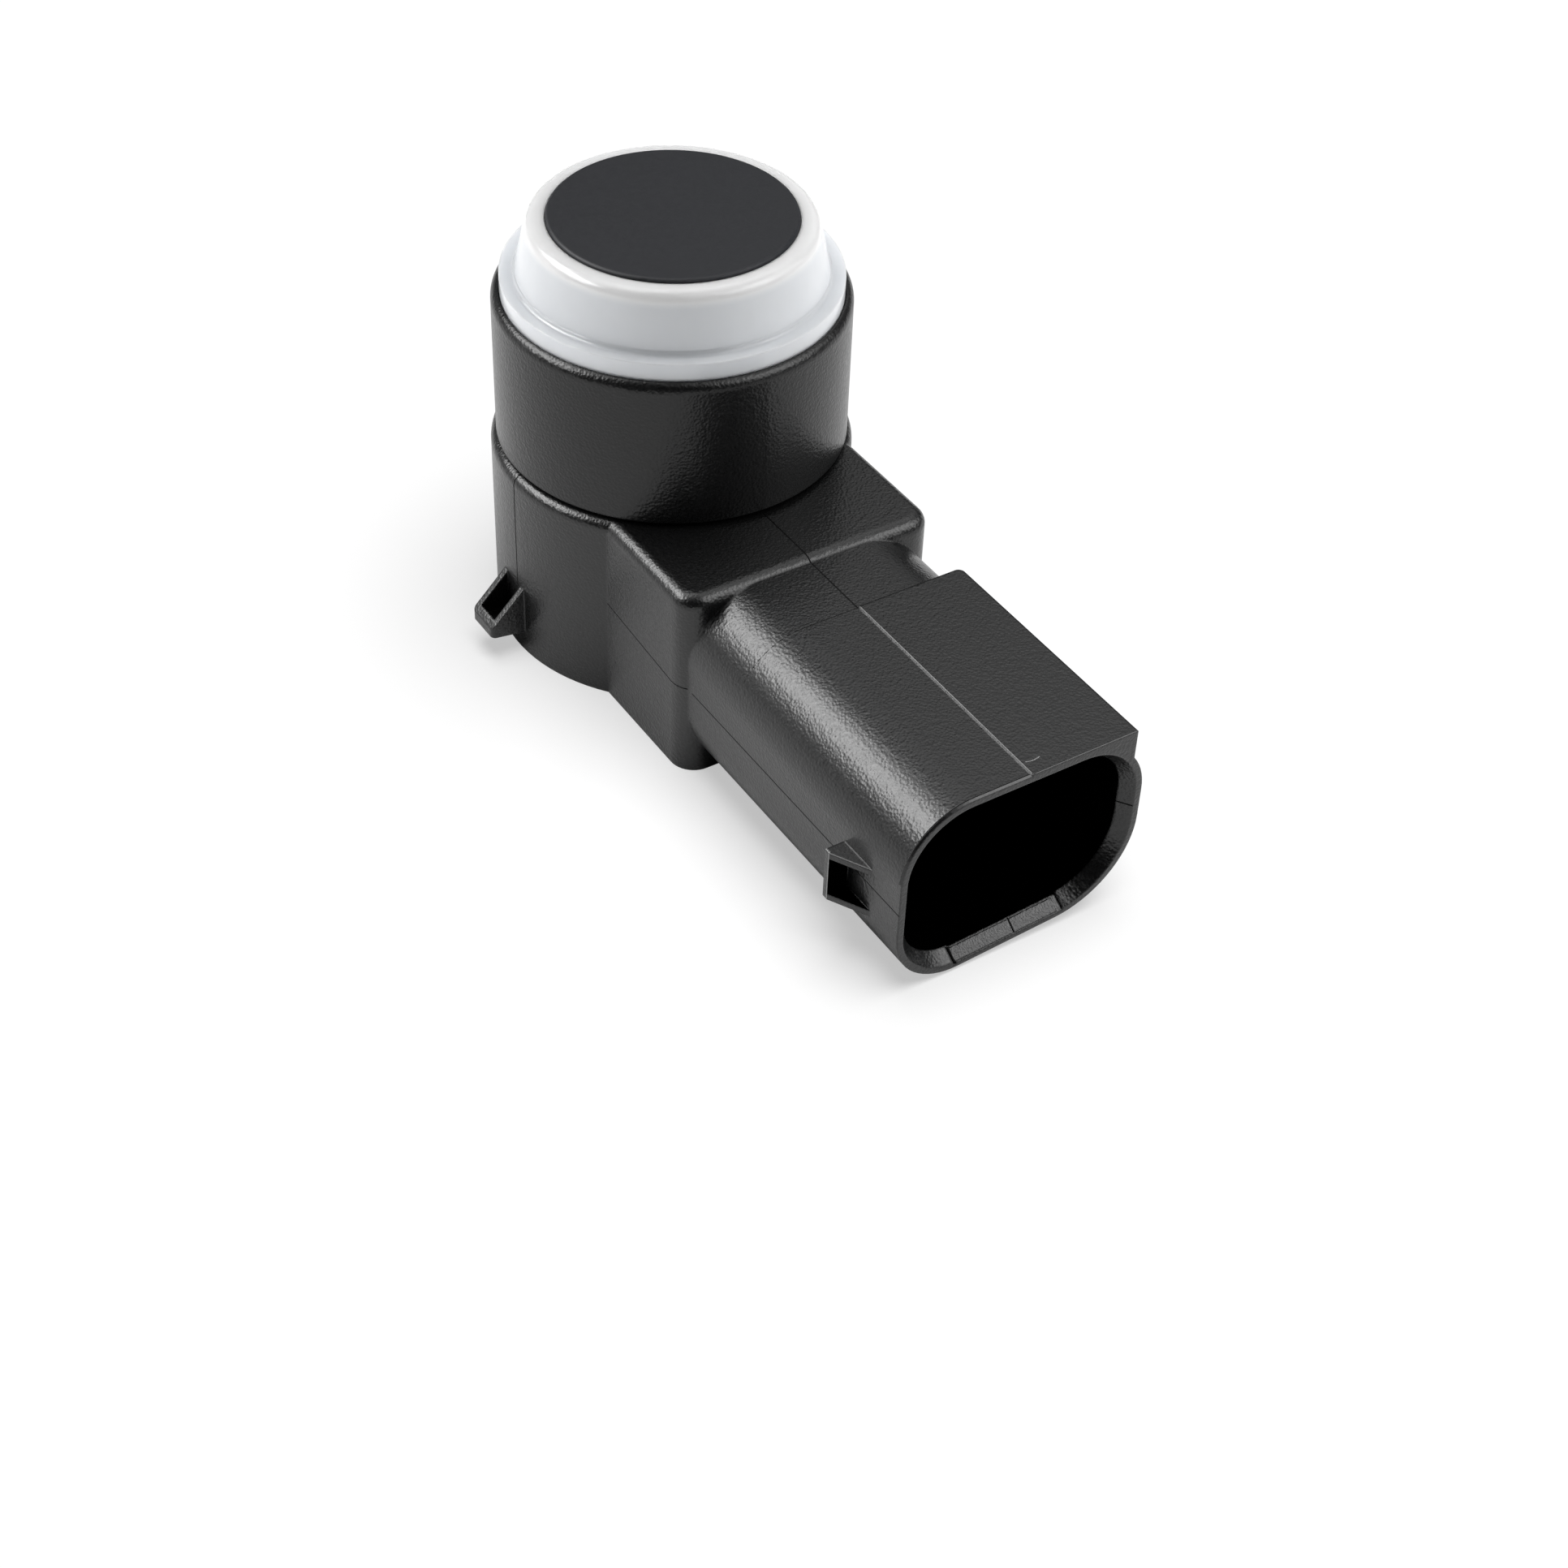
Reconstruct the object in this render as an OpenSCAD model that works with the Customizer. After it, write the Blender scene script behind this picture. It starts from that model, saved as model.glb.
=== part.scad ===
// Ultrasonic parking sensor: a moulded housing with a plug socket on its side, a transducer held
// in a soft silicone ring, and the electronics that lie potted behind it.
// The origin is on the barrel's axis in the plane of the base. +Z points out of the membrane,
// +X out of the socket's mouth. All lengths are in millimetres.

/* [Barrel] */
// Outer diameter of the barrel
barrel_d = 26.9; // [26.5:0.1:30]
// Height of the barrel and the block above the base
barrel_h = 15.6; // [15:0.1:18]
// Wall round the electronics
barrel_wall = 2.0; // [1.4:0.1:2.4]
// Thickness of the roof over the electronics
roof_t = 2.0; // [1.2:0.1:2.4]
// Rounding of the barrel's shoulder
shoulder_r = 0.8; // [0.3:0.1:1]
// Diameter of the opening from the electronics to the transducer
throat_d = 16.5; // [15:0.5:17.5]

/* [Block] */
// Width of the block between the barrel and the socket
block_w = 20.9; // [20.5:0.1:22]
// Distance from the barrel's axis to the front of the block
block_reach = 19.5; // [18:0.1:22]
// Radius of the block's upright corners
block_corner_r = 1.9; // [1.2:0.1:2.5]
// Rounding of the block's upper edges
block_edge_r = 1.0; // [0.5:0.1:1.1]
// Thickness of the wall that the terminal pins pass through, before the socket's floor
front_wall = 2.2; // [1.5:0.1:3]

/* [Socket] */
// Distance from the socket's middle to its left side
socket_left = 9.9; // [9.3:0.05:10.1]
// Distance from the socket's middle to its right side
socket_right = 9.65; // [9.3:0.05:10.1]
// Outer height of the socket
socket_h = 15.0; // [14:0.1:15.1]
// Height of the socket's underside above the base, at its left
socket_z = 0.3; // [0.2:0.05:0.5]
// Rise of the socket's underside towards the right
socket_rise = 0.5; // [0.2:0.05:0.7]
// Outer radius of the socket's upper corners
upper_corner_r = 5.4; // [4.5:0.1:6.4]
// Outer radius of the socket's lower left corner
left_corner_r = 5.0; // [4:0.1:6]
// Outer radius of the socket's lower right corner, the larger one
right_corner_r = 6.6; // [5.6:0.1:7]
// Distance from the barrel's axis to the socket's mouth
socket_reach = 45.5; // [42:0.5:50]
// Distance from the barrel's axis to the socket's floor
socket_floor = 22.0; // [21:0.5:24]
// Wall of the socket behind its lead-in
socket_wall = 1.2; // [1:0.05:1.6]
// Width of the thin rim at the mouth
rim_wall = 0.5; // [0.35:0.05:0.9]
// Depth of the lead-in behind the rim
lead_in_depth = 1.0; // [0.5:0.1:2]
// Width of the keying slot in the mouth's lower edge
slot_w = 9.0; // [7:0.1:9.4]
// Sideways offset of the keying slot
slot_offset = -0.65; // [-1:0.05:1]
// Depth of the keying slot along the socket
slot_l = 6.0; // [2:0.5:10]
// Depth of the keying slot below the socket's lower wall
slot_depth = 0.15; // [0.1:0.05:0.25]
// Width of the slit at the keying slot's end
slit_w = 0.3; // [0.2:0.05:0.5]

/* [Key rib] */
// Distance from the socket's middle to the key rib's outer face
key_reach = 8.6; // [7.5:0.1:9]
// Distance from the barrel's axis to the key rib's rear end
key_start = 25.2; // [23:0.1:30]
// Radius of the key rib's rear corner
key_corner_r = 0.5; // [0.2:0.1:1]
// Rise of the rib's flat above the rest of the socket's top
key_rise = 0.12; // [0.05:0.01:0.3]

/* [Snap clips] */
// Width of a snap clip
clip_w = 3.1; // [2.5:0.1:4]
// Offset of the snap clips from the barrel's axis
clip_x = -0.5; // [-2:0.1:2]
// Distance that a snap clip stands out from the barrel
clip_reach = 2.75; // [1.5:0.05:3]
// Height of the clip's root above the base
clip_z = 1.7; // [1:0.1:3]
// Rise of the clip's underside from its root to its tip
clip_lift = 0.55; // [0.1:0.05:0.8]
// Height of the clip's tip
clip_tip = 0.8; // [0.6:0.05:1.6]
// Radius of the clip's upright corners
clip_corner_r = 0.35; // [0.2:0.05:0.45]
// Wall of a snap clip
clip_wall = 0.5; // [0.4:0.05:0.8]

/* [Latch catches] */
// Distance from the socket's mouth back to the catching face
catch_back = 6.5; // [5:0.1:9]
// Length of a catch along the socket
catch_l = 3.3; // [2.5:0.1:4]
// Height of a catch
catch_h = 4.2; // [3:0.1:5]
// Offset of the catch's middle from the socket's middle
catch_drop = 0.8; // [0:0.1:1]
// Distance that a catch stands out from the socket
catch_reach = 1.55; // [1:0.05:2]
// Wall of a catch
catch_wall = 0.5; // [0.4:0.05:0.7]

/* [Collar] */
// Outer diameter of the collar that the bumper's holder takes
collar_d = 26.1; // [25.6:0.1:26.5]
// Height of the collar
collar_h = 12.0; // [11:0.1:14]
// Rounding of the collar's upper edge
collar_edge_r = 0.8; // [0.4:0.1:1]
// Chamfer of the collar's foot
collar_foot = 0.4; // [0.2:0.1:0.8]
// Outer diameter of the housing's spigot inside the collar
spigot_d = 23.3; // [22.8:0.1:23.6]
// Wall of the spigot
spigot_wall = 1.35; // [1:0.05:1.5]
// Room between the spigot's top and the silicone flange
spigot_gap = 0.8; // [0.4:0.1:1.5]

/* [Silicone ring] */
// Diameter of the flange that lies on the collar
flange_d = 24.8; // [24.2:0.1:25]
// Thickness of the flange
flange_t = 1.5; // [1:0.1:2]
// Depth of the flange's seat in the collar
seat_depth = 0.25; // [0.1:0.05:0.5]
// Diameter of the neck at the flange
neck_root_d = 22.7; // [22:0.1:23.2]
// Diameter of the neck below its shoulder
neck_top_d = 21.1; // [20.6:0.1:22]
// Height of the neck above the flange
neck_h = 4.3; // [3.5:0.1:6]
// Rounding of the neck's shoulder
neck_shoulder_r = 0.8; // [0.4:0.1:1]
// Fillet at the neck's root
neck_fillet_r = 0.3; // [0.1:0.05:0.4]
// Thickness of the lip that the cup stands on
ring_lip_t = 0.8; // [0.5:0.1:1.2]
// Distance that the lip reaches in past the cup's wall
ring_lip_reach = 0.5; // [0.2:0.1:1]

/* [Transducer] */
// Diameter of the membrane
membrane_d = 18.0; // [17:0.1:18.6]
// Thickness of the membrane
membrane_t = 0.8; // [0.5:0.1:1.2]
// Height of the membrane's face above the silicone lip
membrane_rise = 0.25; // [0.1:0.05:0.5]
// Rounding of the membrane's edge
membrane_edge_r = 0.25; // [0.1:0.05:0.4]
// Depth of the cup
cup_h = 9.0; // [7:0.1:10]
// Wall of the cup
cup_wall = 1.1; // [0.8:0.1:1.4]
// Diameter of the piezo disc
piezo_d = 12.0; // [9:0.5:14]
// Thickness of the piezo disc
piezo_t = 0.5; // [0.3:0.05:0.8]
// Thickness of the damping foam
foam_t = 4.8; // [3:0.1:5.5]
// Diameter of a piezo lead
lead_d = 0.5; // [0.3:0.05:0.8]
// Distance between the two piezo leads
lead_pitch = 6.0; // [4:0.5:8]

/* [Electronics] */
// Height of the circuit board's upper face above the base
board_z = 6.0; // [5:0.1:6.5]
// Thickness of the circuit board
board_t = 1.2; // [0.8:0.1:1.6]
// Width of the ledge that the board lies against
ledge_w = 0.9; // [0.6:0.1:1.2]
// Length of the pin tails below the board
tail_l = 0.8; // [0.4:0.1:1.2]
// Distance between two terminal pins
pin_pitch = 4.0; // [3.5:0.1:5]
// Width of a terminal pin
pin_w = 1.5; // [1:0.1:2]
// Thickness of a terminal pin
pin_t = 0.8; // [0.6:0.1:1]
// Length of a terminal pin inside the socket
pin_l = 11.0; // [8:0.5:14]
// Length of a pin's tapered point
pin_point_l = 1.2; // [0.6:0.1:2]
// Thickness of a pin at its tip
pin_tip_t = 0.3; // [0.2:0.05:0.5]
// Distance from the barrel's axis to the pin tails
tail_x = 13.0; // [12.5:0.1:14.5]

/* [Transformer] */
// Diameter of the transformer's bobbin
bobbin_d = 6.8; // [6:0.1:7]
// Room between the transformer's core and the roof
core_room = 0.8; // [0.4:0.1:1.5]
// Distance from the barrel's axis to the transformer
bobbin_x = 5.4; // [5:0.1:5.8]
// Thickness of the bobbin's flanges
bobbin_flange_t = 0.7; // [0.4:0.1:1]
// Diameter of the bobbin's hub
bobbin_hub_d = 4.0; // [3.6:0.1:4.6]
// Depth of the winding below the edge of the bobbin's flanges
winding_inset = 0.2; // [0.1:0.05:0.5]
// Diameter of the transformer's core
core_d = 2.4; // [1.8:0.1:2.8]
// Thickness of the core's cap
core_cap_t = 0.8; // [0.5:0.1:1]

/* [Board parts] */
// Length, width and height of the control chip's body
chip_size = [6.0, 4.0, 1.5]; // [1:0.1:7]
// Place of the control chip on the board
chip_place = [6.0, 0]; // [-7:0.1:7]
// Height of the chip's body above the board
chip_standoff = 0.15; // [0.1:0.05:0.3]
// Length, width and height of a chip's leg
leg_size = [0.45, 0.7, 0.75]; // [0.3:0.05:1]
// Distance between two legs
leg_pitch = 1.27; // [0.65:0.01:1.4]
// Length, width and height of the storage capacitor
storage_size = [3.5, 2.8, 1.9]; // [1:0.1:4]
// Place of the storage capacitor on the board
storage_place = [4.6, -6.2]; // [-7:0.1:7]
// Length, width and height of the protection diode
diode_size = [4.3, 2.6, 2.1]; // [1:0.1:5]
// Place of the protection diode on the board
diode_place = [9.6, -5.6]; // [-7:0.1:10]
// Length, width and height of a ceramic capacitor
ceramic_size = [2.0, 1.25, 1.1]; // [0.5:0.05:2.2]
// Place of the first ceramic capacitor on the board
ceramic_place = [2.4, 6.1]; // [-7:0.1:7]
// Distance between two ceramic capacitors
ceramic_pitch = 2.6; // [2.4:0.1:3]
// Length, width and height of a chip resistor
resistor_size = [1.6, 0.8, 0.55]; // [0.3:0.05:2]
// Place of the first chip resistor on the board
resistor_place = [-4.6, -7.4]; // [-8:0.1:8]
// Distance between two chip resistors
resistor_pitch = 2.2; // [2:0.1:2.4]

/* [Fits] */
// Clearance between pieces that slide or are cast into each other
fit_gap = 0.05; // [0.02:0.01:0.1]

/* [Hidden] */
$fn = 96;

// Colours of the pieces
black_plastic = [0.045, 0.046, 0.05];
black_paint = [0.036, 0.037, 0.04];
milky_silicone = [0.88, 0.89, 0.9];
tin = [0.72, 0.71, 0.68];
copper = [0.72, 0.4, 0.2];
ferrite = [0.2, 0.2, 0.21];
board_green = [0.05, 0.25, 0.12];
ceramic_tan = [0.62, 0.5, 0.36];
piezo_grey = [0.66, 0.64, 0.6];
foam_grey = [0.35, 0.36, 0.38];
gel_clear = [0.8, 0.8, 0.76];
resin_black = [0.03, 0.03, 0.032];
tantalum_orange = [0.8, 0.5, 0.12];

// Barrel, block and socket
barrel_r = barrel_d / 2;
socket_mid = socket_z + socket_h / 2;
socket_top = socket_z + socket_h;
lead_in_x = socket_reach - lead_in_depth;
cavity_r = barrel_r - barrel_wall;
cavity_half_w = block_w / 2 - barrel_wall;
cavity_reach = block_reach - front_wall;
roof_z = barrel_h - roof_t;
// Overlap of pieces that are moulded as one, and overrun of cuts
weld = 0.5;
cut = 1;
// Length of the lead-in's cut past the mouth, and how far it widens over that length
lead_in_run = lead_in_depth + cut;
lead_in_flare = (socket_wall - rim_wall) * lead_in_run / lead_in_depth;
// Corners of the socket's outline, from the lower left towards the right: Y, Z and outer radius
socket_corners = [
    [left_corner_r - socket_left, socket_z + left_corner_r, left_corner_r],
    [socket_right - right_corner_r, socket_z + socket_rise + right_corner_r, right_corner_r],
    [socket_right - upper_corner_r, socket_top - upper_corner_r, upper_corner_r],
    [upper_corner_r - socket_left, socket_top - upper_corner_r, upper_corner_r]
];
corner_count = len(socket_corners);

// Collar, silicone ring and transducer, upwards from the barrel's top
collar_r = collar_d / 2;
collar_top = barrel_h + collar_h;
flange_z = collar_top - seat_depth;
flange_top = flange_z + flange_t;
ring_top = flange_top + neck_h;
face_z = ring_top + membrane_rise;
cup_z = face_z - cup_h;
cup_bore_r = membrane_d / 2 - cup_wall;
piezo_z = face_z - membrane_t - piezo_t;
foam_z = piezo_z - foam_t;
spigot_r = spigot_d / 2;
spigot_bore_r = spigot_r - spigot_wall;
spigot_top = flange_z - spigot_gap;

// Electronics
board_under = board_z - board_t;
tail_z = board_under - tail_l;
pin_tip = socket_floor + pin_l;
bobbin_h = roof_z - core_room - core_cap_t - board_z;

// Upright outline of a turned piece, from its axis outwards, with a rounded upper edge
module turned_outline(r, h, edge) {
    square([r - edge, h]);
    square([r, h - edge]);
    translate([r - edge, h - edge]) intersection() {
        circle(edge);
        square(edge);
    }
}

// Rectangle round the origin with round corners
module round_rectangle(half_w, half_h, r) {
    square([2 * half_w, 2 * (half_h - r)], center = true);
    square([2 * (half_w - r), 2 * half_h], center = true);
    for (side = [-1, 1], level = [-1, 1])
        translate([side * (half_w - r), level * (half_h - r)]) circle(r);
}

// Centre and outer radius of a corner of the socket, and the step to the next corner's centre
function corner_centre(index) =
    let (corner = socket_corners[index % corner_count]) [corner[0], corner[1]];
function corner_r(index) = socket_corners[index % corner_count][2];
function corner_step(index) = corner_centre(index + 1) - corner_centre(index);

// Outward direction and length of the side between a corner and the next, tangent to both
function side_normal(index) =
    let (
        step = corner_step(index),
        along = step / norm(step),
        lean = (corner_r(index) - corner_r(index + 1)) / norm(step)
    )
    lean * along + sqrt(1 - lean * lean) * [along[1], -along[0]];
function side_length(index) =
    sqrt(norm(corner_step(index)) ^ 2 - (corner_r(index) - corner_r(index + 1)) ^ 2);

// Outline of the socket, drawn inwards by a distance: round corners and the sides between them
module socket_outline(inset) {
    for (index = [0:corner_count - 1])
        translate(corner_centre(index)) circle(corner_r(index) - inset);
    polygon([
        for (index = [0:corner_count - 1], end = [0, 1])
            corner_centre(index + end) + (corner_r(index + end) - inset) * side_normal(index)
    ]);
}

// Places an outline, drawn as X and outward distance, at a corner, to run along the side that follows
module at_side(index) {
    normal = side_normal(index);
    translate([lead_in_x, corner_centre(index)[0], corner_centre(index)[1]])
        rotate([atan2(normal[1], normal[0]), 0, 0]) children();
}

// Extrudes an outline, drawn as Y and Z, along X
module along_x(from, to) {
    translate([from, 0, 0]) rotate([90, 0, 90]) linear_extrude(to - from) children();
}

// Extrudes an outline, drawn as X and Z, along Y, to both sides of the middle
module along_y(width) {
    translate([0, width / 2, 0]) rotate([90, 0, 0]) linear_extrude(width) children();
}

// Repeats a piece on the left and, mirrored, on the right
module both_sides() {
    children();
    mirror([0, 1, 0]) children();
}

// Tube between two radii and two heights
module tube(r_in, r_out, from, to) {
    translate([0, 0, from]) difference() {
        cylinder(r = r_out, h = to - from);
        translate([0, 0, -cut]) cylinder(r = r_in, h = to - from + 2 * cut);
    }
}

// Keyhole outline of the room for the electronics, drawn inwards by a distance
module cavity_outline(inset) {
    circle(cavity_r - inset);
    translate([0, inset - cavity_half_w])
        square([cavity_reach - inset, 2 * (cavity_half_w - inset)]);
}

// The two leads of the piezo disc, or room for them
module at_lead(side) {
    translate([0, side * lead_pitch / 2, 0]) children();
}
module lead_holes(from, to) {
    for (side = [-1, 1])
        at_lead(side) translate([0, 0, from]) cylinder(d = lead_d + 2 * fit_gap, h = to - from);
}

// Terminal pin in its stamped outline: tail, bend, blade and point
module terminal_pin(index) {
    color(tin) translate([0, index * pin_pitch, 0]) along_y(pin_w) polygon([
        [tail_x, tail_z],
        [tail_x + pin_t, tail_z],
        [tail_x + pin_t, socket_mid - pin_t / 2],
        [pin_tip - pin_point_l, socket_mid - pin_t / 2],
        [pin_tip, socket_mid - pin_tip_t / 2],
        [pin_tip, socket_mid + pin_tip_t / 2],
        [pin_tip - pin_point_l, socket_mid + pin_t / 2],
        [tail_x, socket_mid + pin_t / 2]
    ]);
}

// Room for the pins' blades in the front wall
module pin_slots() {
    for (index = [-1:1])
        translate([cavity_reach - ledge_w - cut, index * pin_pitch - pin_w / 2, socket_mid - pin_t / 2])
            cube([socket_floor - cavity_reach + ledge_w + 2 * cut, pin_w, pin_t]);
}

// Room for the pins' tails in the board and the potting
module tail_holes(from, to) {
    for (index = [-1:1])
        translate([tail_x - fit_gap, index * pin_pitch - pin_w / 2 - fit_gap, from])
            cube([pin_t + 2 * fit_gap, pin_w + 2 * fit_gap, to - from]);
}

// Block with upright round corners and rounded upper edges
module block() {
    post_x = block_reach - block_corner_r;
    post_y = block_w / 2 - block_corner_r;
    for (side = [-1, 1])
        translate([post_x, side * post_y, 0])
            rotate_extrude() turned_outline(block_corner_r, barrel_h, block_edge_r);
    along_y(2 * post_y) turned_outline(block_reach, barrel_h, block_edge_r);
    along_x(0, post_x)
        for (side = [0, 1])
            mirror([side, 0]) turned_outline(block_w / 2, barrel_h, block_edge_r);
}

// Socket's outer form, with the square-cornered key rib along its upper right edge
module socket_body() {
    along_x(block_reach - block_corner_r, socket_reach) socket_outline(0);
    key_rib();
}

// Key rib, whose rear outer corner is round
module key_rib() {
    round_x = key_start + key_corner_r;
    round_y = key_reach - key_corner_r;
    translate([0, 0, socket_mid]) linear_extrude(socket_h / 2 + key_rise) {
        translate([round_x, 0]) square([socket_reach - round_x, key_reach]);
        translate([key_start, 0]) square([2 * key_corner_r, round_y]);
        translate([round_x, round_y]) circle(key_corner_r);
    }
}

// Flared lead-in: a cone in each corner and a flat along each side
module lead_in() {
    for (index = [0:corner_count - 1]) {
        bore_r = corner_r(index) - socket_wall;
        translate([lead_in_x, corner_centre(index)[0], corner_centre(index)[1]])
            rotate([0, 90, 0]) cylinder(h = lead_in_run, r1 = bore_r, r2 = bore_r + lead_in_flare);
        at_side(index) linear_extrude(side_length(index))
            polygon([[0, 0], [lead_in_run, 0], [lead_in_run, bore_r + lead_in_flare], [0, bore_r]]);
    }
}

// Keying slot in the lower edge of the mouth, flared like the lead-in, and the slit at its left end
module keying_slot() {
    slot_r = corner_r(0) - socket_wall + slot_depth;
    start = slot_offset - slot_w / 2 - corner_centre(0)[0];
    at_side(0) translate([0, 0, start]) linear_extrude(slot_w) polygon([
        [lead_in_depth - slot_l, 0], [lead_in_run, 0], [lead_in_run, slot_r + lead_in_flare],
        [0, slot_r], [lead_in_depth - slot_l, slot_r]
    ]);
    at_side(0) translate([0, 0, start - slit_w / 2]) linear_extrude(slit_w)
        square([lead_in_run, corner_r(0) - rim_wall / 2]);
}

// Socket's inner room with its lead-in and keying slot
module socket_room() {
    along_x(socket_floor, socket_reach + cut) socket_outline(socket_wall);
    lead_in();
    keying_slot();
}

// Snap clip on the barrel: a hollow wedge, open on its ramp, with round upright corners
module snap_clip() {
    tip_y = -barrel_r - clip_reach;
    root_y = 2 * weld - barrel_r;
    under_z = clip_z + clip_lift;
    tip_z = under_z + clip_tip;
    ramp_z = tip_z + root_y - tip_y;
    from = clip_x - clip_w / 2;
    difference() {
        intersection() {
            along_x(from, from + clip_w)
                polygon([[root_y, clip_z], [tip_y, under_z], [tip_y, tip_z], [root_y, ramp_z]]);
            translate([clip_x, (root_y + tip_y) / 2])
                linear_extrude(ramp_z) round_rectangle(clip_w / 2, (root_y - tip_y) / 2, clip_corner_r);
        }
        along_x(from + clip_wall, from + clip_w - clip_wall)
            polygon([
                [root_y + cut, clip_z + clip_wall],
                [tip_y + clip_wall, under_z + clip_wall],
                [tip_y + clip_wall, ramp_z + cut],
                [root_y + cut, ramp_z + cut]
            ]);
    }
}

// Latch catch on the socket: a hollow wedge, open on the ramp that faces the mouth
module latch_catch() {
    back_x = socket_reach - catch_back;
    root_y = 2 * weld - socket_left;
    tip_y = -socket_left - catch_reach;
    slope = (catch_l - catch_wall) / catch_reach;
    from = socket_mid - catch_drop - catch_h / 2;
    front_x = back_x + catch_wall + slope * (root_y - tip_y);
    difference() {
        translate([0, 0, from]) linear_extrude(catch_h)
            polygon([[back_x, root_y], [back_x, tip_y], [back_x + catch_wall, tip_y], [front_x, root_y]]);
        translate([back_x + catch_wall, tip_y - cut, from + catch_wall])
            cube([catch_l + 2 * cut, root_y - tip_y + 2 * cut, catch_h - 2 * catch_wall]);
    }
}

// Moulded housing: barrel, block, socket, spigot, clips and catches in one piece
module housing() {
    color(black_plastic) difference() {
        union() {
            difference() {
                union() {
                    rotate_extrude() turned_outline(barrel_r, barrel_h, shoulder_r);
                    block();
                    socket_body();
                }
                translate([0, 0, -cut]) linear_extrude(board_z + cut) cavity_outline(0);
                linear_extrude(roof_z) cavity_outline(ledge_w);
                cylinder(d = throat_d, h = barrel_h + cut);
                pin_slots();
            }
            tube(spigot_bore_r, spigot_r, barrel_h - weld, spigot_top);
            both_sides() snap_clip();
            both_sides() latch_catch();
        }
        socket_room();
    }
}

// Collar that slides over the spigot and carries the silicone flange
module collar() {
    bore_r = spigot_r + fit_gap;
    color(black_plastic) translate([0, 0, barrel_h]) rotate_extrude() difference() {
        turned_outline(collar_r, collar_h, collar_edge_r);
        square([bore_r, collar_h + cut]);
        translate([0, collar_h - seat_depth]) square([flange_d / 2 + 2 * fit_gap, seat_depth + cut]);
        polygon([[collar_r - collar_foot, 0], [collar_r + cut, 0], [collar_r + cut, collar_foot + cut],
            [collar_r, collar_foot]]);
    }
}

// Silicone ring: sleeve in the spigot, flange on the collar and tapered neck round the membrane
module decoupling_ring() {
    bore_r = membrane_d / 2 + fit_gap;
    sleeve_r = spigot_bore_r - fit_gap;
    neck_r = neck_top_d / 2;
    root_r = neck_root_d / 2;
    shoulder_z = ring_top - neck_shoulder_r;
    sleeve_z = cup_z - ring_lip_t;
    color(milky_silicone) rotate_extrude() {
        difference() {
            union() {
                translate([0, sleeve_z]) square([sleeve_r, flange_top - sleeve_z]);
                translate([0, flange_z]) square([flange_d / 2, flange_t]);
                polygon([[0, flange_z], [root_r, flange_z], [root_r, flange_top], [neck_r, shoulder_z],
                    [0, shoulder_z]]);
                square_top = neck_r - neck_shoulder_r;
                translate([0, shoulder_z]) square([square_top, neck_shoulder_r]);
                translate([square_top, shoulder_z]) circle(neck_shoulder_r);
                difference() {
                    translate([root_r - neck_fillet_r, flange_top - neck_fillet_r])
                        square(2 * neck_fillet_r);
                    translate([root_r + neck_fillet_r, flange_top + neck_fillet_r]) circle(neck_fillet_r);
                }
            }
            translate([0, cup_z]) square([bore_r, cup_h + cut]);
            translate([0, sleeve_z - cut]) square([cup_bore_r - ring_lip_reach, ring_lip_t + 2 * cut]);
        }
    }
}

// Aluminium cup whose painted bottom is the membrane
module membrane_cup() {
    color(black_paint) translate([0, 0, cup_z]) rotate_extrude() difference() {
        turned_outline(membrane_d / 2, cup_h, membrane_edge_r);
        translate([0, -cut]) square([cup_bore_r, cup_h - membrane_t + cut]);
    }
}

// Piezo disc glued behind the membrane
module piezo_disc() {
    color(piezo_grey) translate([0, 0, piezo_z]) cylinder(d = piezo_d, h = piezo_t);
}

// Foam that damps the membrane from behind
module damping_foam() {
    color(foam_grey) difference() {
        translate([0, 0, foam_z]) cylinder(r = cup_bore_r - fit_gap, h = foam_t);
        lead_holes(foam_z - cut, piezo_z + cut);
    }
}

// Silicone that closes the cup behind the foam
module cup_filler() {
    color(gel_clear) difference() {
        translate([0, 0, cup_z]) cylinder(r = cup_bore_r - fit_gap, h = foam_z - cup_z);
        lead_holes(cup_z - cut, foam_z + cut);
    }
}

// Lead from the board to the piezo disc
module piezo_lead(side) {
    color(copper) at_lead(side) translate([0, 0, tail_z]) cylinder(d = lead_d, h = piezo_z - tail_z);
}

// Circuit board that lies against the ledge in the housing
module circuit_board() {
    color(board_green) difference() {
        translate([0, 0, board_under]) linear_extrude(board_t) cavity_outline(fit_gap);
        tail_holes(board_under - cut, board_z + cut);
        lead_holes(board_under - cut, board_z + cut);
    }
}

// Transformer that drives the piezo disc: bobbin, winding and core
module at_transformer() {
    translate([-bobbin_x, 0, board_z]) children();
}
module transformer_bobbin() {
    color(black_plastic) at_transformer() difference() {
        union() {
            cylinder(d = bobbin_d, h = bobbin_flange_t);
            cylinder(d = bobbin_hub_d, h = bobbin_h);
            translate([0, 0, bobbin_h - bobbin_flange_t]) cylinder(d = bobbin_d, h = bobbin_flange_t);
        }
        translate([0, 0, bobbin_flange_t]) cylinder(d = core_d + 2 * fit_gap, h = bobbin_h);
    }
}
module transformer_winding() {
    color(copper) at_transformer() tube(bobbin_hub_d / 2 + fit_gap, bobbin_d / 2 - winding_inset,
        bobbin_flange_t, bobbin_h - bobbin_flange_t);
}
module transformer_core() {
    color(ferrite) at_transformer() {
        translate([0, 0, bobbin_flange_t]) cylinder(d = core_d, h = bobbin_h - bobbin_flange_t);
        translate([0, 0, bobbin_h]) cylinder(d = bobbin_d, h = core_cap_t);
    }
}

// Small part on the board: a box that stands at a place
module board_box(place, size) {
    translate([place[0] - size[0] / 2, place[1] - size[1] / 2, board_z]) cube(size);
}

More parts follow.
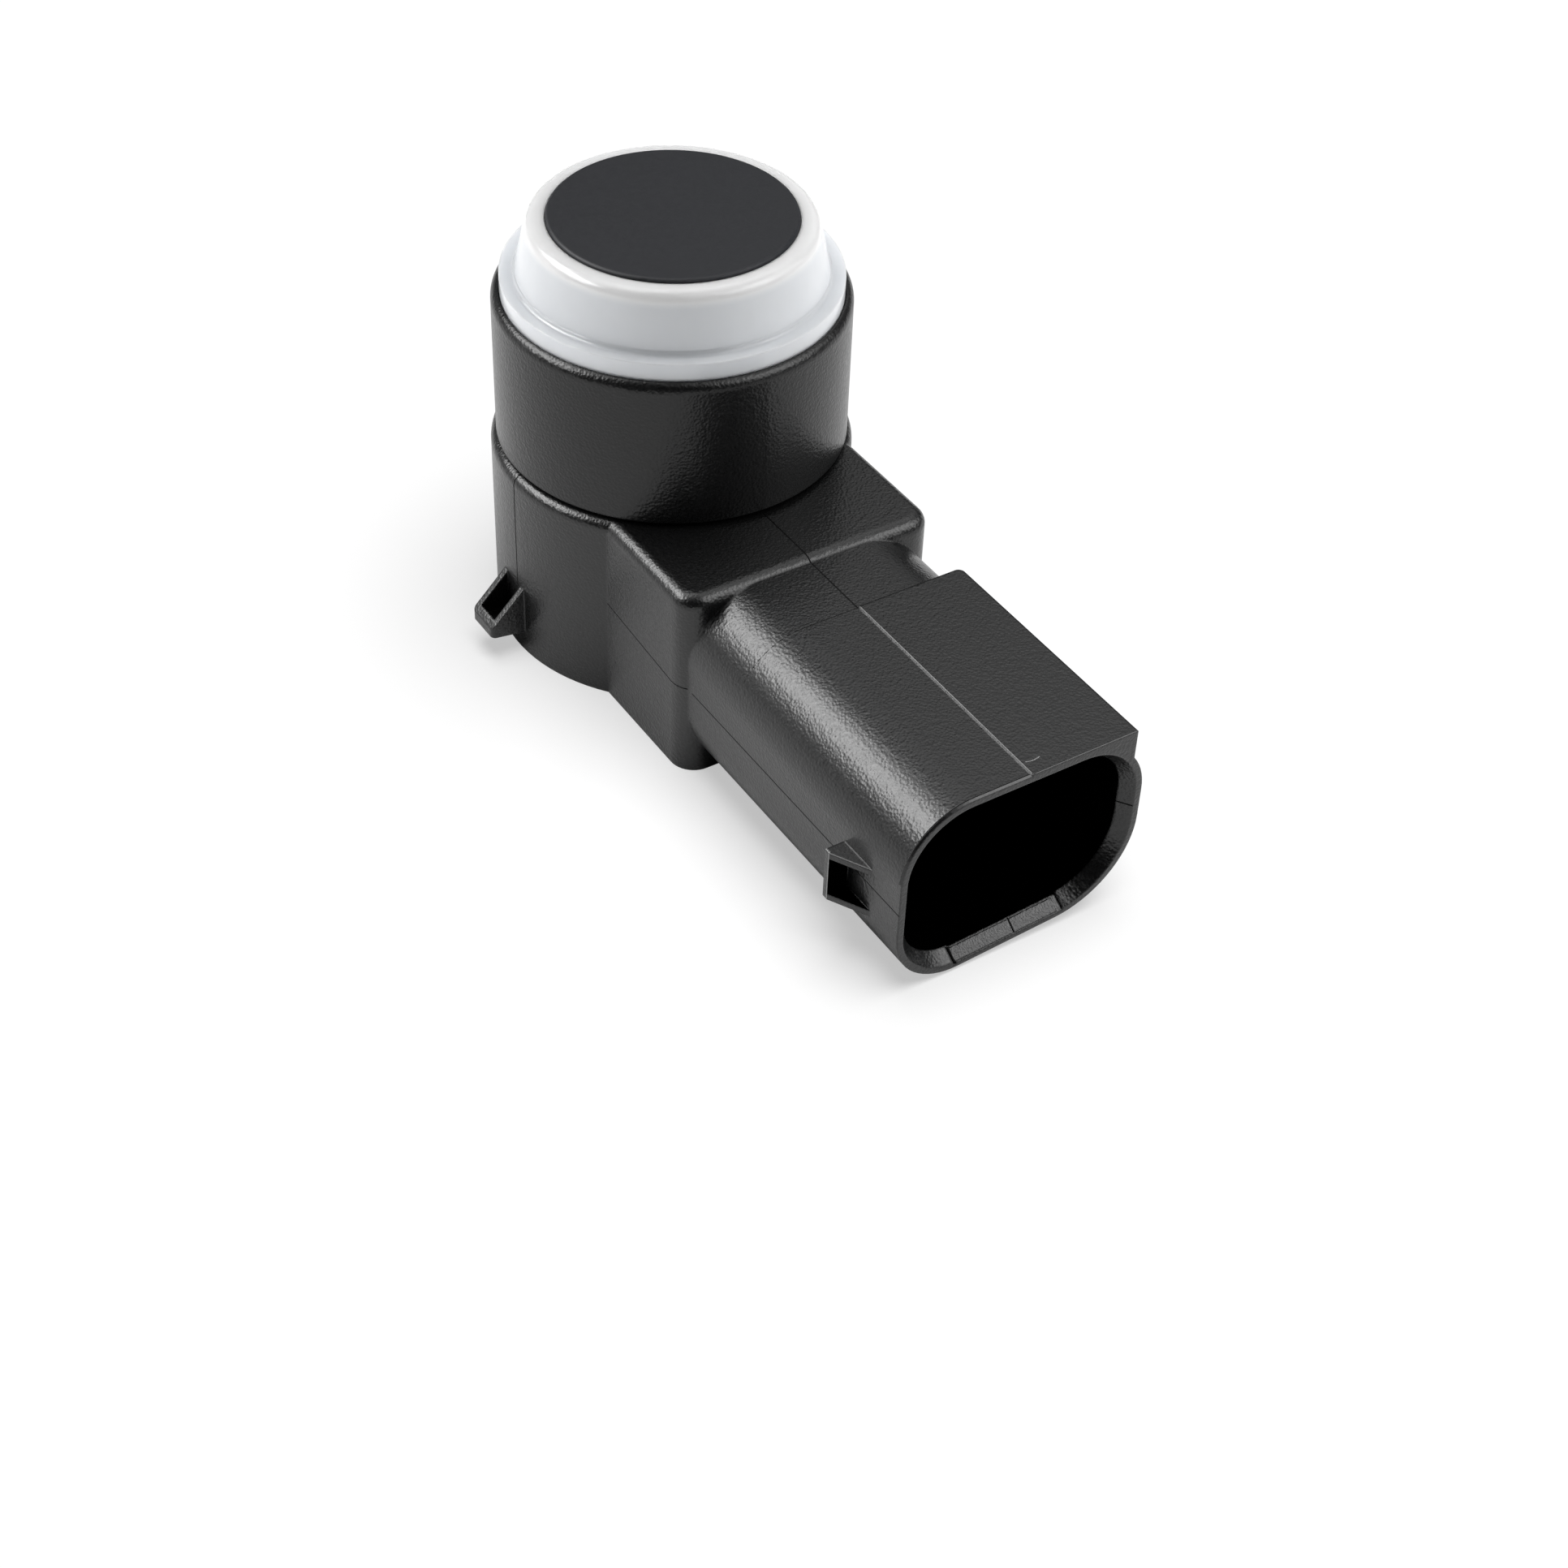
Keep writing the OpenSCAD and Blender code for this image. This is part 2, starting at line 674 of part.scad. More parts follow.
// Control chip with a row of legs on both long sides
module control_chip() {
    color(resin_black) {
        translate([0, 0, chip_standoff]) board_box(chip_place, chip_size);
        for (index = [-1.5:1.5], side = [-1, 1])
            board_box(chip_place + [index * leg_pitch, side * (chip_size[1] + leg_size[1]) / 2], leg_size);
    }
}

// Storage capacitor
module storage_capacitor() {
    color(tantalum_orange) board_box(storage_place, storage_size);
}

// Diode that guards the supply
module protection_diode() {
    color(resin_black) board_box(diode_place, diode_size);
}

// Ceramic capacitors in a row
module ceramic_capacitors() {
    color(ceramic_tan) for (index = [0:3])
        board_box(ceramic_place + [index * ceramic_pitch, 0], ceramic_size);
}

// Chip resistors across the barrel's end of the board
module chip_resistors() {
    color(resin_black) for (index = [0:3])
        board_box(resistor_place + [index * resistor_pitch, 0], resistor_size);
}

// Potting that closes the room below the board, level with the base
module potting_compound() {
    color(resin_black) difference() {
        linear_extrude(board_under) cavity_outline(fit_gap);
        tail_holes(tail_z - fit_gap, board_under + cut);
        lead_holes(tail_z - fit_gap, board_under + cut);
    }
}

housing();
collar();
decoupling_ring();
membrane_cup();
piezo_disc();
damping_foam();
cup_filler();
piezo_lead(-1);  // piezo_lead_left
piezo_lead(1);  // piezo_lead_right
circuit_board();
terminal_pin(-1);  // terminal_pin_left
terminal_pin(0);  // terminal_pin_centre
terminal_pin(1);  // terminal_pin_right
transformer_bobbin();
transformer_winding();
transformer_core();
control_chip();
storage_capacitor();
protection_diode();
ceramic_capacitors();
chip_resistors();
potting_compound();
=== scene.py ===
"""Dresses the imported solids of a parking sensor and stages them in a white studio."""

import logging
import math
from dataclasses import dataclass, replace
from enum import Enum

import bpy
from mathutils import Matrix, Vector


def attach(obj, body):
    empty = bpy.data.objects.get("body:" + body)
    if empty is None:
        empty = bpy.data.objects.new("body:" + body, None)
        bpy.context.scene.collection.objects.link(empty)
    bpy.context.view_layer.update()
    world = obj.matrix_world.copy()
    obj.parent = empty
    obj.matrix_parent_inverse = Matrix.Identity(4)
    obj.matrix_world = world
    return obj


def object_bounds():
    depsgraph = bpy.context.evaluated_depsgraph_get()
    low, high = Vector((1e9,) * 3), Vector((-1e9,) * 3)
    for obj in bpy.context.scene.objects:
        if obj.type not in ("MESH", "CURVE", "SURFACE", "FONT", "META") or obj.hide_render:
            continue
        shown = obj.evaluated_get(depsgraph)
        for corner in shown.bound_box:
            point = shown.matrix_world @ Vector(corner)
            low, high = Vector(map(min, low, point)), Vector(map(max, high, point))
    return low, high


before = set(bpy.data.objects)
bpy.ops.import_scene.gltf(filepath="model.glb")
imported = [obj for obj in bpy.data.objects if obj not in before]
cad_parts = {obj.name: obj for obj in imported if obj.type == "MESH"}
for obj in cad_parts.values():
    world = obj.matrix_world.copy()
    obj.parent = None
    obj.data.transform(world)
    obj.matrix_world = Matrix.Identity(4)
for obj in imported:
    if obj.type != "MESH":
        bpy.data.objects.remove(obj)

CAD_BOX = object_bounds()
BODY = "root"
MM = 0.001
PHOTO_SIDE = 1932
NOISE_RANGE = (0.3, 0.7)
X, Y, Z = Vector((1, 0, 0)), Vector((0, 1, 0)), Vector((0, 0, 1))

Colour = tuple[float, float, float]
Path = list[tuple[Vector, Vector]]

log = logging.getLogger("parking_sensor")


class Slot(Enum):
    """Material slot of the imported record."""

    BLACK_PLASTIC = "black_plastic"


class Graph:
    """Node tree of one material, with short ways to add and link nodes."""

    def __init__(self, name: str) -> None:
        """Makes the material.

        Args:
            name: The material's name.
        """
        self.material = bpy.data.materials.new(name)
        self.material.use_nodes = True
        self.tree = self.material.node_tree
        self.tree.nodes.clear()
        self.output = self.node("ShaderNodeOutputMaterial")
        self.place = self.node("ShaderNodeTexCoord").outputs["Object"]

    def node(self, kind: str, **settings: object) -> bpy.types.Node:
        """Adds a node.

        Args:
            kind: The node's type.
            settings: Properties of the node by name.

        Returns:
            The node.
        """
        made = self.tree.nodes.new(kind)
        for name, value in settings.items():
            setattr(made, name, value)
        return made

    def feed(self, target: bpy.types.NodeSocket, source: object) -> None:
        """Links a socket to another, or sets its value.

        Args:
            target: The input.
            source: An output to link, or a plain value.
        """
        if isinstance(source, bpy.types.NodeSocket):
            self.tree.links.new(source, target)
        else:
            target.default_value = source

    def noise(self, size: float, detail: float = 2.0, rough: float = 0.5) -> bpy.types.NodeSocket:
        """Adds soft noise.

        Args:
            size: Size of a patch, in metres.
            detail: Number of finer layers.
            rough: Weight of the finer layers.

        Returns:
            The noise's value, about 0.5 on average.
        """
        made = self.node("ShaderNodeTexNoise")
        self.feed(made.inputs["Vector"], self.place)
        self.feed(made.inputs["Scale"], 1.0 / size)
        self.feed(made.inputs["Detail"], detail)
        self.feed(made.inputs["Roughness"], rough)
        return made.outputs["Fac"]

    def cells(self, size: float) -> bpy.types.NodeSocket:
        """Adds rounded pebbles, as in leather grain.

        Args:
            size: Size of a pebble, in metres.

        Returns:
            The distance from the pebble's middle.
        """
        made = self.node("ShaderNodeTexVoronoi", feature="SMOOTH_F1")
        self.feed(made.inputs["Vector"], self.place)
        self.feed(made.inputs["Scale"], 1.0 / size)
        self.feed(made.inputs["Smoothness"], 0.6)
        return made.outputs["Distance"]

    def spread(self, value: bpy.types.NodeSocket, low: float, high: float) -> bpy.types.NodeSocket:
        """Maps noise to a range.

        Args:
            value: The noise.
            low: What its low end becomes.
            high: What its high end becomes.

        Returns:
            The mapped value.
        """
        made = self.node("ShaderNodeMapRange")
        self.feed(made.inputs["Value"], value)
        self.feed(made.inputs["From Min"], NOISE_RANGE[0])
        self.feed(made.inputs["From Max"], NOISE_RANGE[1])
        self.feed(made.inputs["To Min"], low)
        self.feed(made.inputs["To Max"], high)
        return made.outputs["Result"]

    def tint(self, value: bpy.types.NodeSocket, first: object, second: object) -> bpy.types.NodeSocket:
        """Runs between two colours.

        Args:
            value: The share of the second colour.
            first: Colour at 0, or a socket that gives it.
            second: Colour at 1, or a socket that gives it.

        Returns:
            The mixed colour.
        """
        made = self.node("ShaderNodeMix", data_type="RGBA")
        self.feed(made.inputs["Factor"], value)
        for slot, colour in ((made.inputs[6], first), (made.inputs[7], second)):
            self.feed(slot, colour if isinstance(colour, bpy.types.NodeSocket) else (*colour, 1.0))
        return made.outputs[2]

    def bump(self, height: bpy.types.NodeSocket, depth: float,
             under: bpy.types.NodeSocket | None = None) -> bpy.types.NodeSocket:
        """Adds relief.

        Args:
            height: The relief's height, 0 to 1.
            depth: Depth of the relief, in metres.
            under: Normal that the relief lies on.

        Returns:
            The relief's normal.
        """
        made = self.node("ShaderNodeBump")
        self.feed(made.inputs["Strength"], 1.0)
        self.feed(made.inputs["Distance"], depth)
        self.feed(made.inputs["Height"], height)
        if under is not None:
            self.feed(made.inputs["Normal"], under)
        return made.outputs["Normal"]

    def soft_edges(self, radius: float) -> bpy.types.NodeSocket:
        """Rounds the sharp edges in shading.

        Args:
            radius: The rounding, in metres.

        Returns:
            The rounded normal.
        """
        made = self.node("ShaderNodeBevel", samples=6)
        self.feed(made.inputs["Radius"], radius)
        return made.outputs["Normal"]

    def math(self, operation: str, first: object, second: object) -> bpy.types.NodeSocket:
        """Works out one step of arithmetic.

        Args:
            operation: The step, as the Math node names it.
            first: The first value or socket.
            second: The second value or socket.

        Returns:
            The result.
        """
        made = self.node("ShaderNodeMath", operation=operation)
        self.feed(made.inputs[0], first)
        self.feed(made.inputs[1], second)
        return made.outputs[0]

    def rise(self, low: float, high: float) -> bpy.types.NodeSocket:
        """Runs up with the height.

        Args:
            low: Height up to which the value is 0.
            high: Height from which it is 1.

        Returns:
            The value.
        """
        height = self.node("ShaderNodeSeparateXYZ")
        self.feed(height.inputs[0], self.place)
        made = self.node("ShaderNodeMapRange", interpolation_type="SMOOTHSTEP")
        self.feed(made.inputs["Value"], height.outputs[2])
        self.feed(made.inputs["From Min"], low)
        self.feed(made.inputs["From Max"], high)
        return made.outputs["Result"]

    def within(self, room: "Room") -> bpy.types.NodeSocket:
        """Finds the walls of a room that lies along X.

        Args:
            room: The room.

        Returns:
            1 on faces that look into the room, and 0 elsewhere.
        """
        normal = self.node("ShaderNodeNewGeometry").outputs["Normal"]
        spread = self.node("ShaderNodeVectorMath", operation="MULTIPLY_ADD")
        self.feed(spread.inputs[0], self.place)
        self.feed(spread.inputs[1], (0.0, 1.0, 1.0))
        self.feed(spread.inputs[2], (0.0, -room.middle[0], -room.middle[1]))
        outward = self.node("ShaderNodeVectorMath", operation="DOT_PRODUCT")
        self.feed(outward.inputs[0], spread.outputs[0])
        self.feed(outward.inputs[1], normal)
        x, forward = (self.node("ShaderNodeSeparateXYZ") for _ in range(2))
        self.feed(x.inputs[0], self.place)
        self.feed(forward.inputs[0], normal)
        faces_in = self.math("MAXIMUM", self.math("LESS_THAN", outward.outputs["Value"], -room.least_reach),
                             self.math("GREATER_THAN", forward.outputs[0], 0.9))
        along = self.math("MULTIPLY", self.math("GREATER_THAN", x.outputs[0], room.span[0]),
                          self.math("LESS_THAN", x.outputs[0], room.span[1]))
        return self.math("MULTIPLY", faces_in, along)

    def surface(self, **inputs: object) -> bpy.types.Material:
        """Closes the graph with a principled surface.

        Args:
            inputs: The surface's inputs, with underscores for spaces.

        Returns:
            The material.
        """
        made = self.node("ShaderNodeBsdfPrincipled")
        for name, value in inputs.items():
            self.feed(made.inputs[name.replace("_", " ")], value)
        self.feed(self.output.inputs["Surface"], made.outputs["BSDF"])
        return self.material


@dataclass(frozen=True)
class Room:
    """Deep room along X whose walls get a painted shade: near black, without reflections.

    Attributes:
        span: Where the room starts and ends along X.
        middle: Y and Z of the room's axis.
        least_reach: How far a wall is from the axis at least.
    """

    span: tuple[float, float]
    middle: tuple[float, float]
    least_reach: float


@dataclass(frozen=True)
class GrainedPlastic:
    """Black moulded plastic with a leather grain, and a near-black painted shade without reflections where
    it lines a room.

    Attributes:
        name: The finish's name.
        dark: The darkest colour.
        light: The lightest colour.
        roughness: The least and the greatest roughness.
        pebble: Size of a pebble of the grain.
        pebble_depth: Depth of the grain.
        edge_radius: Rounding of the edges in shading.
        gloss: Strength of the reflections.
        room: The room whose walls get the painted shade, if any.
        painted_shade_colour: Near-black colour painted on the room's walls as shade.
        patch: Size of a patch of colour.
        sheen_patch: Size of a patch of roughness.
    """

    name: str
    dark: Colour
    light: Colour
    roughness: tuple[float, float]
    pebble: float
    pebble_depth: float
    edge_radius: float
    gloss: float = 0.5
    room: Room | None = None
    painted_shade_colour: Colour = (0.0004, 0.0004, 0.0004)
    patch: float = 4.0 * MM
    sheen_patch: float = 0.3 * MM

    def material(self) -> bpy.types.Material:
        """Returns the finish as a new material."""
        graph = Graph(self.name)
        patch = graph.spread(graph.noise(self.patch, 3.0), 0.0, 1.0)
        edges = graph.soft_edges(self.edge_radius)
        waves = graph.bump(graph.noise(self.pebble * 2.0, 2.0), self.pebble_depth, edges)
        grain = graph.bump(graph.cells(self.pebble), self.pebble_depth, waves)
        colour, gloss = graph.tint(patch, self.dark, self.light), self.gloss
        # Painted shade: faces that look into the room get a near-black colour and lose their reflections.
        if self.room:
            painted_shade_mask = graph.within(self.room)
            colour = graph.tint(painted_shade_mask, colour, self.painted_shade_colour)
            gloss = graph.math("MULTIPLY", graph.math("SUBTRACT", 1.0, painted_shade_mask), self.gloss)
        return graph.surface(
            Base_Color=colour,
            Roughness=graph.spread(graph.noise(self.sheen_patch, 2.0), *self.roughness),
            Normal=grain,
            Specular_IOR_Level=gloss,
        )


@dataclass(frozen=True)
class MilkySilicone:
    """Milky silicone that light enters and scatters in, with a painted highlight that makes the lip paler.

    Attributes:
        name: The finish's name.
        colour: The colour.
        painted_lip_light: Paler colour painted on the lip as a highlight.
        lip: Height where the lip's painted highlight starts and where it is full.
        depth: How deep the light goes.
        roughness: The least and the greatest roughness.
        edge_radius: Rounding of the edges in shading.
    """

    name: str
    colour: Colour
    painted_lip_light: Colour
    lip: tuple[float, float]
    depth: float
    roughness: tuple[float, float]
    edge_radius: float = 0.2 * MM

    def material(self) -> bpy.types.Material:
        """Returns the finish as a new material."""
        graph = Graph(self.name)
        cloud = graph.spread(graph.noise(2.5 * MM, 2.0), 0.0, 1.0)
        shade = tuple(0.97 * c for c in self.colour)
        milk = graph.tint(cloud, shade, self.colour)
        return graph.surface(
            # The lip's paler colour is a painted highlight.
            Base_Color=graph.tint(graph.rise(*self.lip), milk, self.painted_lip_light),
            Roughness=graph.spread(graph.noise(0.8 * MM), *self.roughness),
            Subsurface_Weight=1.0,
            Subsurface_Scale=self.depth,
            Subsurface_Radius=(1.0, 1.0, 1.0),
            Normal=graph.bump(graph.noise(1.5 * MM, 1.0), 0.002 * MM, graph.soft_edges(self.edge_radius)),
        )


@dataclass(frozen=True)
class SatinPaint:
    """Even satin paint with a faint orange peel."""

    name: str
    colour: Colour
    roughness: tuple[float, float]
    gloss: float
    edge_radius: float = 0.15 * MM

    def material(self) -> bpy.types.Material:
        """Returns the finish as a new material."""
        graph = Graph(self.name)
        patch = graph.spread(graph.noise(3.0 * MM, 2.0), 0.0, 1.0)
        shade = tuple(0.94 * c for c in self.colour)
        return graph.surface(
            Base_Color=graph.tint(patch, shade, self.colour),
            Roughness=graph.spread(graph.noise(0.5 * MM, 2.0), *self.roughness),
            Normal=graph.bump(graph.noise(0.25 * MM, 1.0), 0.002 * MM, graph.soft_edges(self.edge_radius)),
            Specular_IOR_Level=self.gloss,
        )


@dataclass(frozen=True)
class PlainFinish:
    """Even finish with a little mottling, for metals and small parts."""

    name: str
    colour: Colour
    roughness: tuple[float, float]
    metallic: float = 0.0
    mottle: float = 0.85
    patch: float = 0.6 * MM

    def material(self) -> bpy.types.Material:
        """Returns the finish as a new material."""
        graph = Graph(self.name)
        spot = graph.spread(graph.noise(self.patch, 3.0), 0.0, 1.0)
        shade = tuple(self.mottle * c for c in self.colour)
        return graph.surface(
            Base_Color=graph.tint(spot, shade, self.colour),
            Metallic=self.metallic,
            Roughness=graph.spread(graph.noise(0.4 * self.patch, 2.0), *self.roughness),
            Normal=graph.bump(graph.noise(0.3 * self.patch), 0.004 * MM),
        )


def dress(node: str, finish: object) -> None:
    """Gives a solid of the frame its finish.

    Args:
        node: The solid's name.
        finish: The finish.
    """
    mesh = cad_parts[node].data
    mesh.materials.clear()
    mesh.materials.append(finish.material())
    log.info("dressed %s as %s", node, finish.name)


def ridge(name: str, path: Path, width: float, height: float) -> bpy.types.Object:
    """Lays a low closed ridge along a path on a surface.

    Args:
        name: The piece's name.
        path: Points on the surface, each with the surface's normal.
        width: Width of the ridge.
        height: Height of the ridge above the surface.

    Returns:
        The piece, riding on the body.
    """
    points, faces = [], []
    for index, (point, normal) in enumerate(path):
        before = path[max(index - 1, 0)][0]
        after = path[min(index + 1, len(path) - 1)][0]
        side = (after - before).cross(normal).normalized()
        points += [point - side * width / 2, point + normal * height, point + side * width / 2,
                   point - normal * height]
        if index:
            first = 4 * index - 4
            faces += [(first + k, first + (k + 1) % 4, first + 4 + (k + 1) % 4, first + 4 + k)
                      for k in range(4)]
    last = 4 * len(path) - 4
    faces += [(3, 2, 1, 0), (last, last + 1, last + 2, last + 3)]
    mesh = bpy.data.meshes.new(name)
    mesh.from_pydata([tuple(p) for p in points], [], faces)
    mesh.validate()
    piece = bpy.data.objects.new(name, mesh)
    bpy.context.scene.collection.objects.link(piece)
    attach(piece, BODY)
    return piece


def straight(start: Vector, end: Vector, normal: Vector, count: int = 2) -> Path:
    """Returns a straight path on a flat face.

    Args:
        start: The first point.
        end: The last point.
        normal: The face's normal.
        count: Number of points.

    Returns:
        The path.
    """
    return [(start.lerp(end, k / (count - 1)), normal) for k in range(count)]


def bend(centre: Vector, first: Vector, second: Vector, radius: float, turn: tuple[float, float],
         count: int = 9) -> Path:
    """Returns a path round a rounded edge.

    Args:
        centre: Middle of the rounding.
        first: Direction at angle 0.
        second: Direction at a quarter turn.
        radius: Radius of the rounding.
        turn: First and last angle, in degrees.
        count: Number of points.

    Returns:
        The path.
    """
    path = []
    for k in range(count):
        angle = math.radians(turn[0] + (turn[1] - turn[0]) * k / (count - 1))
        normal = first * math.cos(angle) + second * math.sin(angle)
        path.append((centre + normal * radius, normal))
    return path


@dataclass(frozen=True)
class Trace:
    """Kind of fine line on the housing.

    Attributes:
        finish: The line's finish.
        width: The line's width.
        height: The line's height above the surface.
    """

    finish: GrainedPlastic
    width: float
    height: float

    def lay(self, name: str, path: Path) -> None:
        """Lays a line of this kind.

        Args:
            name: The line's name.
            path: Points on the surface, each with the surface's normal.
        """
        piece = ridge(name, path, self.width, self.height)
        piece.data.materials.append(self.finish.material())
        log.info("laid %s", name)


@dataclass
class Housing:
    """Moulded housing: barrel, block and socket, with the mould's marks, painted highlights and painted
    shade.
    """

    finish: GrainedPlastic
    parting: Trace
    seam: Trace
    slit: Trace
    witness: Trace
    edge: Trace
    rim: Trace
    step: Trace
    strip: Trace
    scratch_and_painted_highlight: Trace
    barrel_r: float = 13.45 * MM
    barrel_top: float = 15.6 * MM
    shoulder_r: float = 0.8 * MM
    barrel_line_x: float = 0.15 * MM
    barrel_line_foot: float = 5.7 * MM
    collar_r: float = 13.05 * MM
    block_side: float = 10.45 * MM
    block_front: float = 19.5 * MM
    block_corner_r: float = 1.9 * MM
    block_edge_r: float = 1.0 * MM
    block_line_z: tuple[float, float] = (8.4 * MM, 7.6 * MM)
    centre_y: float = -0.1 * MM
    socket_top: float = 15.3 * MM
    socket_sides: tuple[float, float] = (-9.9 * MM, 9.65 * MM)
    socket_corner_r: float = 5.4 * MM
    socket_mouth: float = 45.5 * MM
    key_start: float = 25.2 * MM
    key_top: float = 15.42 * MM
    key_reach: float = 8.5 * MM
    catch_x: tuple[float, float, float] = (39.0 * MM, 39.5 * MM, 42.3 * MM)
    catch_y: tuple[float, float] = (-11.45 * MM, -9.9 * MM)
    catch_z: tuple[float, float] = (4.9 * MM, 9.1 * MM)
    lead_in: tuple[float, float] = (44.5 * MM, 45.5 * MM)
    lead_in_right: tuple[float, float] = (8.45 * MM, 9.15 * MM)
    lead_in_line_z: float = 8.5 * MM
    strip_corner: tuple[float, float] = (-4.9 * MM, 5.3 * MM)
    strip_reach: tuple[float, float] = (3.95 * MM, 4.65 * MM)
    strip_out: tuple[float, float] = (0.0624, -0.998)
    strip_ends: tuple[float, float] = (-4.85 * MM, 3.78 * MM)
    strip_seam: float = 0.1 * MM
    strip_gap: float = 0.08 * MM
    strip_shares: tuple[float, float] = (0.02, 0.93)
    lead_in_share: float = 0.97
    edge_inset: float = 0.01 * MM
    key_edge_ends: tuple[float, float] = (0.1 * MM, 0.15 * MM)
    rim_join: float = 0.2 * MM
    rim_end: float = -0.05 * MM
    key_rim_start: float = 0.25 * MM
    scratch_x: tuple[float, ...] = (44.2 * MM, 44.29 * MM, 44.32 * MM, 44.29 * MM, 44.22 * MM)
    scratch_y: tuple[float, ...] = (0.3 * MM, 0.6 * MM, 0.9 * MM, 1.2 * MM, 1.45 * MM)

    def build(self) -> None:
        """Dresses the housing and lays the mould's marks, a scratched mark, painted highlights and painted
        shade on it.
        """
        dress("housing", self.finish)
        self.parting.lay("parting_line_barrel", self.barrel_line())
        self.parting.lay("parting_line_block_side", self.side_line())
        self.parting.lay("parting_line_socket_left", self.socket_line(0, -Y))
        self.parting.lay("parting_line_socket_right", self.socket_line(1, Y))
        self.seam.lay("parting_line_block_top", self.top_line())
        self.seam.lay("parting_line_lead_in", self.lead_in_line())
        self.seam.lay("parting_line_strip", self.strip_line(self.strip_seam))
        # A dark ridge as painted shade in the slit at the strip's left end.
        self.slit.lay("key_strip_slit", self.strip_line(self.strip_ends[0]))
        # A light ridge as a painted highlight on the strip's step.
        self.step.lay("key_strip_step", self.strip_line(self.strip_ends[1] - self.step.width / 2))
        self.witness.lay("witness_line_socket", self.witness_line())
        self.edge.lay("key_rib_edge", self.key_edge())
        self.rim.lay("mouth_edge_left", self.mouth_edge_left())
        self.edge.lay("mouth_edge_right", self.mouth_edge_right())
        self.scratch_and_painted_highlight.lay("key_rib_scratch", self.scratch_line())
        # Light ridges as painted highlights on the left catch's edges.
        self.step.lay("catch_tip_edge", self.catch_tip_edge())
        self.scratch_and_painted_highlight.lay("catch_ramp_edge", self.catch_ramp_edge())
        self.scratch_and_painted_highlight.lay("catch_outer_edge", self.catch_outer_edge())
        left_end, right_end = self.strip_seam - self.strip_gap, self.strip_seam + self.strip_gap
        # The strip's halves get a lighter colour as painted light, over a coarser grain.
        self.strip.lay("key_strip_left", self.strip_band(self.strip_ends[0], left_end))
        self.strip.lay("key_strip_right", self.strip_band(right_end, self.strip_ends[1]))

    def key_edge(self) -> Path:
        """Returns the fine burr along the key rib's left edge."""
        y, (start, end) = self.edge.width / 2 + self.edge_inset, self.key_edge_ends
        return straight(Vector((self.key_start + start, y, self.key_top)),
                        Vector((self.socket_mouth - end, y, self.key_top)), Z)

    def mouth_edge_left(self) -> Path:
        """Returns the fine burr on the mouth's edge, over its left shoulder to the key rib."""
        x, corner = self.socket_mouth - self.rim.width / 2 - self.edge_inset, self.socket_corner_r
        middle = Vector((x, corner + self.socket_sides[0], self.socket_top - corner))
        start = middle + Z * corner + Y * self.rim_join
        return (bend(middle, -Y, Z, corner, (5, 90), 18)
                + straight(start, Vector((x, self.rim_end, self.socket_top)), Z))

    def mouth_edge_right(self) -> Path:
        """Returns the fine burr on the mouth's edge along the key rib."""
        x = self.socket_mouth - self.edge.width / 2 - self.edge_inset
        return straight(Vector((x, self.key_rim_start, self.key_top)),
                        Vector((x, self.key_reach, self.key_top)), Z)

    def catch_tip_edge(self) -> Path:
        """Returns the edge on top of the left catch's tip, which gets a painted highlight."""
        (back, front, _), (tip, _), top = self.catch_x, self.catch_y, self.catch_z[1]
        y = tip + self.step.width / 2
        return straight(Vector((back, y, top)), Vector((front, y, top)), Z)

    def catch_ramp_edge(self) -> Path:
        """Returns the edge along the top of the left catch's ramp, which gets a painted highlight."""
        (_, front, root), (tip, wall), top = self.catch_x, self.catch_y, self.catch_z[1]
        inward = X * -self.scratch_and_painted_highlight.width / 2
        return straight(Vector((front, tip, top)) + inward, Vector((root, wall, top)) + inward, Z)

    def catch_outer_edge(self) -> Path:
        """Returns the edge down the left catch's tip, which gets a painted highlight."""
        x, y, (foot, top) = self.catch_x[1] - self.scratch_and_painted_highlight.width / 2, self.catch_y[0], self.catch_z
        return straight(Vector((x, y, foot)), Vector((x, y, top)), -Y)

    def scratch_line(self) -> Path:
        """Returns the small curved scratched mark near the mouth."""
        return [(Vector((x, y, self.key_top)), Z) for x, y in zip(self.scratch_x, self.scratch_y)]

    def lead_in_line(self) -> Path:
        """Returns the parting line across the lead-in's right side."""
        (back, front), (inner, outer), z = self.lead_in, self.lead_in_right, self.lead_in_line_z
        normal = Vector((outer - inner, back - front, 0)).normalized()
        start, end = Vector((back, inner, z)), Vector((front, outer, z))
        return straight(start, start.lerp(end, self.lead_in_share), normal)

    def strip_point(self, y: float, share: float) -> Vector:
        """Returns a point on the keying strip.

        Args:
            y: Place along the strip.
            share: 0 at the strip's inner edge, and 1 at its outer edge.

        Returns:
            The point.
        """
        inner, outer = self.strip_reach
        reach = inner + (outer - inner) * share
        along = (y - self.strip_corner[0] - reach * self.strip_out[0]) / -self.strip_out[1]
        z = self.strip_corner[1] + reach * self.strip_out[1] + along * self.strip_out[0]
        return Vector((self.lead_in[0] + (self.lead_in[1] - self.lead_in[0]) * share, y, z))

    def strip_normal(self) -> Vector:
        """Returns the keying strip's upward normal."""
        rise = self.strip_reach[1] - self.strip_reach[0]
        run = self.lead_in[1] - self.lead_in[0]
        return Vector((rise, -run * self.strip_out[0], -run * self.strip_out[1])).normalized()

    def strip_line(self, y: float) -> Path:
        """Returns a line across the keying strip.

        Args:
            y: Place along the strip.

        Returns:
            The path.
        """
        inner, outer = (self.strip_point(y, share) for share in self.strip_shares)
        return straight(inner, outer, self.strip_normal())

